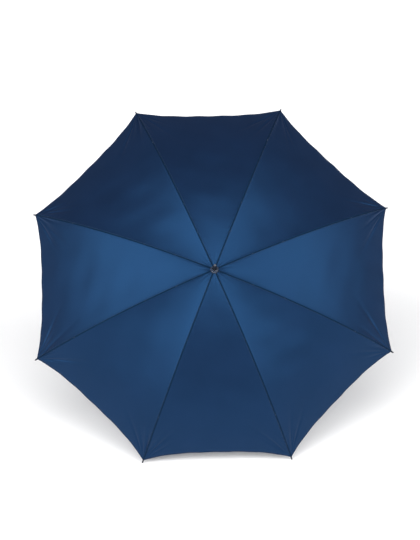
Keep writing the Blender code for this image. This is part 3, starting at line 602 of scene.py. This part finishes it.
class Finish:
    # one material; its shader's fixed numbers are set on its own sockets
    def __init__(self, name, **fixed):
        self.material = bpy.data.materials.new(name)
        self.material.use_nodes = True
        self.tree = self.material.node_tree
        self.shader = self.tree.nodes["Principled BSDF"]
        for socket, value in fixed.items():
            self.feed(self.shader, socket.replace("_", " "), value)

    def feed(self, node, socket, value):
        if isinstance(value, Signal):
            self.tree.links.new(value.socket, node.inputs[socket])
        else:
            isColour = isinstance(value, tuple) and node.inputs[socket].type == "RGBA"
            node.inputs[socket].default_value = (*value, 1) if isColour else value

    def node(self, kind, settings=None, values=None, output=0):
        node = self.tree.nodes.new(kind)
        for key, value in (settings or {}).items():
            if key == "stops":
                while len(node.color_ramp.elements) < len(value):
                    node.color_ramp.elements.new(0.5)
                for stop, (place, grey) in zip(node.color_ramp.elements, value):
                    stop.position, stop.color = place, (grey, grey, grey, 1)
            else:
                setattr(node, key, value)
        for socket, value in (values or {}).items():
            self.feed(node, socket, value)
        return Signal(self, node.outputs[output])

    def maths(self, operation, *values):
        return self.node("ShaderNodeMath", {"operation": operation}, dict(enumerate(values)))

    def mixed(self, factor, first, second):
        return self.node("ShaderNodeMix", {"data_type": "RGBA"}, {0: factor, 6: first, 7: second}, 2)

    def stretched(self, vector, scale):
        return self.node("ShaderNodeMapping", values={"Vector": vector, "Scale": scale})

    def place(self, scale=(1, 1, 1)):
        # the piece's own coordinates, stretched
        return self.stretched(self.node("ShaderNodeTexCoord", output=3), scale)

    def lengths(self):
        # distances across and along the surface, kept in the UV map in metres
        spot = self.node("ShaderNodeUVMap", {"uv_map": "lengths"})
        across = self.node("ShaderNodeSeparateXYZ", values={0: spot})
        return spot, across, Signal(self, across.socket.node.outputs[1])

    def noise(self, scale, detail=3.0, vector=None, rough=0.55):
        values = {"Scale": scale, "Detail": detail, "Roughness": rough}
        values["Vector"] = vector or self.place()
        return self.node("ShaderNodeTexNoise", values=values)

    def ramp(self, factor, *stops):
        return self.node("ShaderNodeValToRGB", {"stops": stops}, {"Fac": factor})

    def bump(self, height, distance, strength=1.0, under=None):
        values = {"Height": height, "Distance": distance, "Strength": strength}
        if under:
            values["Normal"] = under
        return self.node("ShaderNodeBump", values=values)

    def wear(self, **signals):
        for socket, signal in signals.items():
            self.feed(self.shader, socket.replace("_", " "), signal)
        return self


clothLook = {
    "deep": (0.0060, 0.0135, 0.0390),
    "light": (0.0076, 0.0172, 0.0500),
    # seam is painted shade: the colour darkened where the grooves between panels are shaded
    "seam": (0.0012, 0.0026, 0.0085),
    # hem is painted shade: the colour darkened along the hem's fold
    "hem": (0.0002, 0.0045, 0.0250),
    "threadPitch": 0.00042,
    "roughness": 0.40,
    "gloss": (0.075, 0.44, 1.0),
    "sheen": (0.25, 0.50, 0.95),
}


def clothFinish():
    # plain weave: thread tops are the product of two sines of the lengths along warp and weft.
    # Distance to the seam is the panel's half width at this length less the distance from its middle
    finish = Finish(
        "canopyCloth", IOR=1.5, Metallic=0.35, Specular_IOR_Level=0.72, Specular_Tint=clothLook["gloss"],
        Sheen_Weight=0.05, Sheen_Roughness=0.4, Sheen_Tint=clothLook["sheen"],
    )
    spot, u, v = finish.lengths()
    rate = 2 * math.pi / clothLook["threadPitch"]
    weave = (u * rate).sine() * (v * rate).sine()
    halfWidth = (arcX + arcRadius * (v * (1 / arcRadius) + clothFirst).sine()) * math.sin(halfTurn)
    # bySeam is 1 near the seams and fades out; it paints shade into the colour there and raises the roughness
    bySeam = (halfWidth - u.size()).fade(0.0008, 0.0042)
    byHem = (clothLength - v).fade(0.0020, 0.0060)
    yarns = finish.noise(1.0, 2.0, finish.stretched(spot, (900, 26, 1)))
    clouds = finish.noise(9.0, 4.0)
    tone = finish.ramp(yarns * 0.45 + clouds * 0.55 + weave * 0.05, (0.30, 0.0), (0.70, 1.0))
    plain = finish.mixed(tone, clothLook["deep"], clothLook["light"])
    # painted shade along the hem: the colour is darkened within a few millimetres of its edge
    hemShaded = finish.mixed(byHem * 0.9, plain, clothLook["hem"])
    skin = finish.bump(finish.noise(30.0, 3.0), 0.0007, 0.25)
    rough = clothLook["roughness"] + 0.10 * (clouds - 0.5) - 0.02 * weave + 0.25 * bySeam + 0.38 * byHem
    return finish.wear(
        # painted shade: the colour darkens towards the seams, where their grooves are shaded
        Base_Color=finish.mixed(bySeam * 0.85, hemShaded, clothLook["seam"]),
        Roughness=rough,
        Normal=finish.bump(weave, 0.00006, 0.35, skin),
    )


def threadFinish():
    finish = Finish("sewingThread", Roughness=0.6, Sheen_Weight=0.2)
    _, u, v = finish.lengths()
    twist = (u * 5200 + v * 5200).sine()
    return finish.wear(
        Base_Color=finish.mixed(twist * 0.5 + 0.5, (0.012, 0.030, 0.075), (0.022, 0.052, 0.120)),
        Normal=finish.bump(twist, 0.00008, 0.6),
    )


def mouldedFinish(name, dark, light, roughness, grain=2600.0, depth=0.00006, **fixed):
    # moulded or painted: a fine grain, a slow change of gloss and a little lighter rubbed colour
    finish = Finish(name, **fixed)
    fine = finish.noise(grain, 2.0)
    slow = finish.noise(38.0, 4.0)
    rubbed = finish.ramp(slow, (0.45, 0.0), (0.75, 1.0))
    return finish.wear(
        Base_Color=finish.mixed(rubbed, dark, light),
        Roughness=roughness + 0.18 * (slow - 0.5) + 0.08 * (fine - 0.5),
        Normal=finish.bump(fine, depth, 0.5),
    )


def fibreFinish():
    # pultruded rod: streaks run along it
    finish = Finish("fibreglass", Coat_Weight=0.25, Coat_Roughness=0.2)
    spot, _, _ = finish.lengths()
    streak = finish.noise(1.0, 3.0, finish.stretched(spot, (3000, 40, 1)))
    return finish.wear(
        Base_Color=finish.mixed(streak, (0.010, 0.010, 0.012), (0.034, 0.034, 0.038)),
        Roughness=0.28 + 0.25 * streak,
        Normal=finish.bump(streak, 0.00005, 0.5),
    )


def foamFinish():
    # closed-cell foam: pores are the distance to the nearest of many scattered points
    finish = Finish("gripFoam", Specular_IOR_Level=0.3)
    pores = finish.node("ShaderNodeTexVoronoi", values={"Vector": finish.place(), "Scale": 900.0})
    slow = finish.noise(45.0, 4.0)
    # painted shade: the colour is darker in the pores, where the bump sinks
    poreShade = finish.ramp(pores, (0.1, 0.0), (0.6, 1.0))
    return finish.wear(
        Base_Color=finish.mixed(poreShade, (0.008, 0.008, 0.009), (0.026, 0.026, 0.028)),
        Roughness=0.80 + 0.16 * (slow - 0.5),
        Normal=finish.bump(pores, 0.00035, 0.5, finish.bump(slow, 0.0006, 0.4)),
    )


def webbingFinish():
    # ribbed tape: cords across its width, and a zigzag of darker yarn
    finish = Finish(
        "strapWebbing", Specular_IOR_Level=0.25, Sheen_Weight=0.06, Sheen_Tint=clothLook["sheen"],
    )
    _, u, v = finish.lengths()
    cords = (v * (2 * math.pi / 0.0011)).sine()
    zigzag = (u * (2 * math.pi / 0.0016) + 1.4 * cords).sine()
    return finish.wear(
        Base_Color=finish.mixed(zigzag * 0.5 + 0.5, (0.010, 0.027, 0.075), (0.018, 0.045, 0.112)),
        Roughness=0.62 + 0.08 * zigzag,
        Normal=finish.bump(cords * 0.7 + zigzag * 0.3, 0.00025, 0.8),
    )


def hookFinish():
    finish = Finish("hookPad")
    hooks = finish.node("ShaderNodeTexVoronoi", values={"Vector": finish.place(), "Scale": 1500.0})
    return finish.wear(
        Base_Color=finish.mixed(hooks, (0.030, 0.040, 0.070), (0.008, 0.012, 0.026)),
        Roughness=0.7 + 0.2 * hooks,
        Normal=finish.bump(hooks, 0.0006, 0.9),
    )


def metalFinish(name, colour, roughness, lineRate):
    # turned metal: lines round the shaft follow the noise along one stretched axis
    finish = Finish(name, Metallic=1.0)
    lines = finish.noise(1.0, 3.0, finish.place((60, lineRate, lineRate)))
    smears = finish.noise(120.0, 3.0)
    darker = tuple(0.7 * part for part in colour)
    return finish.wear(
        Base_Color=finish.mixed(smears, darker, colour),
        Roughness=roughness + 0.16 * (smears - 0.4) + 0.06 * lines,
        Normal=finish.bump(lines, 0.00003, 0.4),
    )


def floorFinish():
    glow = {"Emission_Color": (1.0, 0.99, 0.985), "Emission_Strength": studio["floorGlow"]}
    finish = Finish("paleFloor", Specular_IOR_Level=0.0, **glow)
    grain = finish.noise(0.8, 2.0)
    pale = studio["floorColour"]
    return finish.wear(
        Base_Color=finish.mixed(grain, tuple(0.99 * part for part in pale), pale),
        Roughness=0.9 + 0.05 * (grain - 0.5),
    )


print("finishes")
paint = {"grain": 900.0, "depth": 0.00004, "Coat_Weight": 0.4}
finishes = {
    "cloth": clothFinish(),
    "thread": threadFinish(),
    "plastic": mouldedFinish("blackPlastic", (0.010, 0.010, 0.011), (0.022, 0.022, 0.024), 0.42),
    "paint": mouldedFinish("shaftPaint", (0.012, 0.012, 0.013), (0.030, 0.030, 0.032), 0.30, **paint),
    "rubber": mouldedFinish("endRubber", (0.012,) * 3, (0.030,) * 3, 0.66, 1800.0, 0.0001),
    "disc": mouldedFinish("crownDisc", (0.005, 0.009, 0.020), (0.012, 0.019, 0.038), 0.50, 2200.0, 1e-4),
    "fibre": fibreFinish(),
    "foam": foamFinish(),
    "webbing": webbingFinish(),
    "hooks": hookFinish(),
    "bright": metalFinish("brightMetal", (0.60, 0.67, 0.78), 0.20, 4200.0),
    "dull": metalFinish("dullNose", (0.10, 0.11, 0.13), 0.34, 3000.0),
    "steel": metalFinish("steelWire", (0.50, 0.50, 0.52), 0.30, 2600.0),
}


# ---- crown ----
top = {"bore": 0.0073, "ferruleNeck": 0.0046}  # bore: a little over the shaft's radius


def addTurned(name, body, finish, slot, node, profile, radius=0.0008, sides=64):
    # a closed profile turned round the shaft; its corners are rounded
    closed = rounded(np.concatenate([profile, profile[:1]]), radius)
    shape = Shape().grid(laid(lathe(closed, sides)), closed=True)
    return shape.piece(name, body, [finish], slot, [node])


def outline(radius, height, *steps):
    # points of a profile given as how far in from a radius and how far up from a height
    return [(radius - inward, height + rise) for inward, rise in steps]


def addCrown():
    print("crown")
    bore, neck = top["bore"], top["ferruleNeck"]
    low, high, radius = nodeSizes("canopy_cap")
    disc = [(bore, low), *outline(radius, low, (0.0004, 0), (0, 0.0007))]
    disc += outline(radius, high, (0.0006, -0.0006), (0.0020, -0.0001), (0.0026, -0.0004))
    disc += [(bore, high)]
    addTurned("crown-disc", "shaft", "disc", "crown_disc", "canopy_cap", disc, 0.0005)
    low, high, radius = nodeSizes("ferrule_ring")
    ring = [(bore, low), *outline(radius, low, (0.0008, 0), (-0.0006, 0.0008), (-0.0004, 0.0026))]
    ring += outline(radius, low, (0.0001, 0.0031), (0.0001, 0.0036), (-0.0001, 0.0041))
    ring += [*outline(radius, high, (0.0014, -0.0008), (0.0018, 0)), (bore, high)]
    addTurned("crown-ring", "shaft", "bright", "bright_metal", "ferrule_ring", ring, 0.0007)
    low, high, radius = nodeSizes("ferrule")
    spike = [(bore, low), *outline(radius, low, (0.0006, 0), (0, 0.0006), (0, 0.0040))]
    spike += outline(radius, low, (0.0005, 0.0046), (0.0005, 0.0052), (0.0002, 0.0058), (0.0014, 0.024))
    spike += outline(neck, high, (-0.0007, -0.0045), (0, 0))
    spike += [(0.0, high), (0.0, high - 0.004), (bore - 0.004, low + 0.004)]
    addTurned("ferrule-spike", "shaft", "plastic", "black_plastic", "ferrule", spike)
    low, high, radius = nodeSizes("ferrule_tip")
    nose = [(0.0, low), *outline(radius, low, (0.0002, 0), (0, 0.0004), (0, 0.0015))]
    nose += outline(radius, low, (0.0005, 0.0019), (0.0005, 0.0023), (0, 0.0027))
    nose += [*outline(radius, high, (0, -0.0022)), (radius * 0.62, high), (0.0, high)]
    addTurned("ferrule-nose", "shaft", "dull", "bright_metal", "ferrule_tip", nose, 0.0016)


# ---- ribs and stretchers ----
def inRibPlane(number, points):
    return laid(turnedTo(points, ribAzimuth(number)))


def eyeRing(centre, outer, bore, halfWidth, sides=32):
    # a flat washer round Y: x = r sin a, z = r cos a
    corners = [(bore, -halfWidth), (outer, -halfWidth), (outer, halfWidth), (bore, halfWidth)]
    radius, side = rounded(corners + corners[:1], 0.0003, 4).T[:, :, None]
    angle = np.linspace(0, 2 * math.pi, sides, endpoint=False)
    ring = np.stack([radius * np.sin(angle), side + 0 * angle, radius * np.cos(angle)], axis=-1)
    return np.asarray(centre) + ring


def shanked(away, ends):
    # a rod's half width and half height: flattened within a shank's length of each of its ends
    near = np.min([np.abs(away - end) for end in ends], axis=0)
    full = np.clip((near - ribs["shankLength"]) / ribs["flare"], 0, 1)
    full = full**2 * (3 - 2 * full)
    halves = (ribs["shankWidth"] / 2, ribs["shankHeight"] / 2)
    return [half * (1 - full) + ribs["rodRadius"] * full for half in halves]


def addRib(number):
    start, stop = arcAngle(pivotRadius), arcEnd - 0.6 * ribs["tipLength"] / arcRadius
    near = start + np.linspace(ribs["eyeBore"] + 0.0006, 0.016, 9) / arcRadius
    angle = np.concatenate([near, np.linspace(start + 0.02 / arcRadius, stop, 60)])
    width, height = shanked((angle - start) * arcRadius, [0])
    path, width, height = ended(arcPoint(angle), width, height)
    shape = Shape().grid(inRibPlane(number, rod(path, (0, 1, 0), width, height)), closed=True)
    eye = eyeRing(arcPoint(start), ribs["eyeRadius"], ribs["eyeBore"], ribs["shankWidth"] / 2)
    shape.grid(inRibPlane(number, eye), closed=True)
    shape.piece(f"rib-rod-{number}", f"rib_{number}", ["fibre"], "fibreglass", [f"rib_{number}"])


binding = {"wraps": 5, "first": 0.0086, "width": 0.0018, "sunk": 0.0002, "threadRadius": 0.00022}


def addRibTip(number):
    # a turned cap on the rod's last chord, bound with thread where the cloth's corner is sewn to it
    slope = arcEnd - ribs["tipLength"] / (2 * arcRadius)
    ahead = np.array([math.cos(slope), 0, -math.sin(slope)])
    side = np.array([0.0, 1.0, 0.0])
    nose, wide, long = ribs["tipNose"], ribs["tipRadius"], ribs["tipLength"]
    ball = np.linspace(0, 81, 8) * math.pi / 180
    profile = [(nose * math.sin(a), -nose * (1 - math.cos(a))) for a in ball]
    profile += outline(wide, 0, (0, -0.0068), (0, -0.0080), (0.0005, -0.0084), (0.0005, -0.0106))
    profile += [*outline(wide, 0, (0, -0.0110), (0, 0.0006 - long), (0.0004, -long)), (0.0, -long)]
    radius, at = np.array(profile).T[:, :, None]
    angle = np.linspace(0, 2 * math.pi, 28, endpoint=False)
    end = arcPoint(np.float64(arcEnd))
    points = end + at[..., None] * ahead + (radius * np.cos(angle))[..., None] * side
    points = points + (radius * np.sin(angle))[..., None] * np.cross(ahead, side)
    shape = Shape().grid(inRibPlane(number, points), closed=True)
    wraps = np.linspace(0, binding["wraps"] * 2 * math.pi, 101)
    along = -binding["first"] - binding["width"] * wraps / wraps[-1]
    ring = np.cos(wraps)[:, None] * side + np.sin(wraps)[:, None] * np.cross(ahead, side)
    coil = end + along[:, None] * ahead + (wide - binding["sunk"]) * ring
    path, size = ended(coil, np.full(len(coil), binding["threadRadius"]))
    shape.grid(inRibPlane(number, rod(path, ahead, size, size, 6)), closed=True, finish=1)
    names = f"rib-cap-{number}", f"rib_{number}"
    shape.piece(*names, ["plastic", "thread"], "black_plastic", [f"rib_tip_{number}"])


pin = turnedTo(local(joints["stretcher_pivot_1"]["pos_m"]), -ribAzimuth(1))
runnerPin = turnedTo(local(joints["runner_pivot"]["pos_m"]), -ribAzimuth(1))


def addStretcher(number):
    long = np.linalg.norm(runnerPin - pin)
    ahead = (runnerPin - pin) / long
    ends = np.linspace(0.0022, 0.016, 8)
    away = np.concatenate([ends, np.linspace(0.018, long - 0.018, 12), (long - ends)[::-1]])
    width, height = shanked(away, [0, long])
    path, width, height = ended(pin + away[:, None] * ahead, width, height)
    shape = Shape().grid(inRibPlane(number, rod(path, (0, 1, 0), width, height)), closed=True)
    eyes = (pin, ribs["pinEyeRadius"], ribs["pinBore"]), (runnerPin, ribs["eyeRadius"], ribs["eyeBore"])
    for centre, outer, bore in eyes:
        eye = eyeRing(centre, outer, bore, ribs["shankWidth"] / 2)
        shape.grid(inRibPlane(number, eye), closed=True)
    body = f"stretcher_{number}"
    shape.piece(f"stretcher-rod-{number}", body, ["fibre"], "fibreglass", [body])


ties = {
    "at": (0.135, 0.245, 0.500), "wraps": 4, "threadRadius": 0.00032, "pitch": 0.0007,
    "halfWidth": 0.0022, "centre": 0.0009, "halfHeight": 0.0029,
}


def addTies(number):
    # turns of thread that hold the seam to its rib: an oval round the rod, up to the cloth
    shape = Shape()
    for reach in ties["at"]:
        angle = arcAngle(reach)
        out = np.array([math.sin(angle), 0, math.cos(angle)])
        ahead = np.array([math.cos(angle), 0, -math.sin(angle)])
        turns = np.linspace(0, ties["wraps"] * 2 * math.pi, 24 * ties["wraps"] + 1)
        lift = ties["centre"] + ties["halfHeight"] * np.sin(turns)
        aside = ties["halfWidth"] * np.cos(turns)
        coil = arcPoint(np.float64(angle)) + (ties["pitch"] * turns / (2 * math.pi))[:, None] * ahead
        coil = coil + lift[:, None] * out + aside[:, None] * np.array([0.0, 1.0, 0.0])
        path, size = ended(coil, np.full(len(coil), ties["threadRadius"]))
        shape.grid(inRibPlane(number, rod(path, ahead, size, size, 6)), closed=True)
    shape.piece(f"seam-ties-{number}", f"rib_{number}", ["thread"])


def addRibs():
    print("ribs and stretchers")
    for number in range(1, ribCount + 1):
        addRib(number)
        addRibTip(number)
        addStretcher(number)
        addTies(number)


# ---- handle ----
handle = {
    "coreRadius": 0.0103, "gripRadius": 0.0170, "gripEnd": 0.0152, "edge": 0.002, "edgeLength": 0.003,
    "grooves": 5, "groovePitch": 0.004, "grooveDepth": 0.0006,
    "capLip": 0.0070, "capStem": 0.0058,
}


def addHandle():
    print("handle")
    low, high, _ = nodeSizes("handle_grip")
    share = np.linspace(0, 1, 90)
    swell = (handle["gripRadius"] - handle["gripEnd"]) * np.sin(math.pi * share) ** 0.6
    fromEnd = np.minimum(share, 1 - share) * (high - low)
    # a quarter round at each end, then grooves that are the eighth power of a cosine
    inward = 1 - np.clip(fromEnd / handle["edgeLength"], 0, 1)
    edge = handle["edge"] * (1 - np.sqrt(1 - inward**2))
    pitch = handle["groovePitch"]
    grooved = (fromEnd > 1.5 * pitch) & (fromEnd < (handle["grooves"] + 0.5) * pitch)
    groove = handle["grooveDepth"] * np.cos(math.pi * fromEnd / pitch) ** 8 * grooved
    outside = handle["gripEnd"] + swell - edge - groove
    outside = np.stack([outside, low + share * (high - low)], axis=1)
    core = handle["coreRadius"]
    profile = np.concatenate([[(core, low)], outside, [(core, high), (core, low)]])
    grip = Shape().grid(laid(lathe(profile)), closed=True)
    grip.piece("grip-foam", "shaft", ["foam"], "grip_foam", ["handle_grip"])
    low, high, radius = nodeSizes("handle_collar")
    collar = outline(radius, low, (0.0003, 0), (0, 0.0004), (0, 0.0022), (0.0012, 0.0040))
    collar = [(top["bore"], low), *collar, *outline(core, high, (-0.0006, -0.0014), (0.0007, 0))]
    collar += [(top["bore"], high)]
    addTurned("grip-collar", "shaft", "plastic", "black_plastic", "handle_collar", collar, 0.0012)
    low, high, radius = nodeSizes("handle_cap")
    lip, stem = low + handle["capLip"], handle["capStem"]
    cap = [(0.0, high), *outline(stem, high, (0.0008, 0), (0, -0.001)), (stem, lip)]
    cap += outline(radius, lip, (0.0003, 0), (0, -0.0006), (0, -0.0018), (0.0004, -0.0022))
    cap += outline(radius, lip, (0.0004, -0.0026), (0, -0.0030))
    cap += [*outline(radius, low, (0, 0.0016), (0.0016, 0)), (0.0, low)]
    addTurned("grip-end-cap", "shaft", "rubber", "end_rubber", "handle_cap", cap[::-1], 0.0009)


# ---- tie strap ----
strap = {
    "length": 0.130, "width": 0.020, "thickness": 0.0012, "bow": 0.0030, "point": 0.006,
    "stitchRows": (-0.0085, 0.0085), "padHalfWidth": 0.0088, "padHalfThickness": 0.00055,
}


def onStrap(points):
    return laid(turnedTo(points, math.pi))


def addStrap():
    print("tie strap")
    start = turnedTo(local(joints["strap_swing"]["pos_m"]), -math.pi)
    away = np.linspace(0, strap["length"], 60)
    bow = strap["bow"] * np.sin(math.pi * away / strap["length"]) ** 2
    path = start + np.stack([-bow, 0 * away, -away], axis=1)
    fromPoint = 1 - np.clip((strap["length"] - away) / strap["point"], 0, 1)
    rounding = np.sqrt(np.clip(1 - fromPoint**2, 0.05, 1))
    wide = strap["width"] / 2 * (0.55 + 0.45 * rounding)
    line, wide, thick = ended(path, wide, strap["thickness"] / 2)
    shape = Shape().grid(onStrap(rod(line, (0, 1, 0), wide, thick, 32, 7.0)), closed=True)
    for across in strap["stitchRows"]:
        line = path[2:-2:2] + np.array([strap["thickness"] / 2, across, 0])
        outward = turnedTo((1.0, 0, 0), math.pi) @ axes
        stitchRun(shape, onStrap(line), np.broadcast_to(outward, line.shape), 1)
    made = ["webbing", "thread"]
    piece = shape.piece("tie-strap-tape", "tie_strap", made, "strap_webbing", ["tie_strap"])
    low, high, _ = nodeSizes("strap_pad")
    middle = np.array([-nodePoints("strap_pad")[:, 0].mean(), 0, 0])
    height = np.linspace(low, high, 24)
    patch = middle + np.stack([0 * height, 0 * height, height], axis=1)
    patch, wide, thick = ended(patch, strap["padHalfWidth"], strap["padHalfThickness"])
    shape = Shape().grid(onStrap(rod(patch, (0, 1, 0), wide, thick, 24, 8.0)), closed=True)
    hooks = shape.piece("strap-hooks", "tie_strap", ["hooks"], "hook_pad", ["strap_pad"])
    for part in (piece, hooks):
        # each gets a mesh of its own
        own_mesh(part)


# ---- finishes of the fixed frame's own pieces ----
carried = {
    "shaft": "paint", "top_notch": "plastic", "runner": "plastic", "handle_core": "plastic",
    "notch_wire": "steel", "runner_wire": "steel", "stop_pin": "steel",
    "top_catch": "steel", "bottom_catch": "steel",
    **{f"rib_clip_{number}": "plastic" for number in range(1, ribCount + 1)},
}


def finishFrame():
    for node, finish in carried.items():
        for slot in frame["nodes"][node].material_slots:
            slot.material = finishes[finish].material


print("camera and studio")
addCamera()
addSky()
addFloor()
for sun in studio["suns"]:
    addSun(*sun)
bpy.context.scene.view_settings.view_transform = "Standard"

addCanopy()
addCrown()
addRibs()
addHandle()
addStrap()
finishFrame()
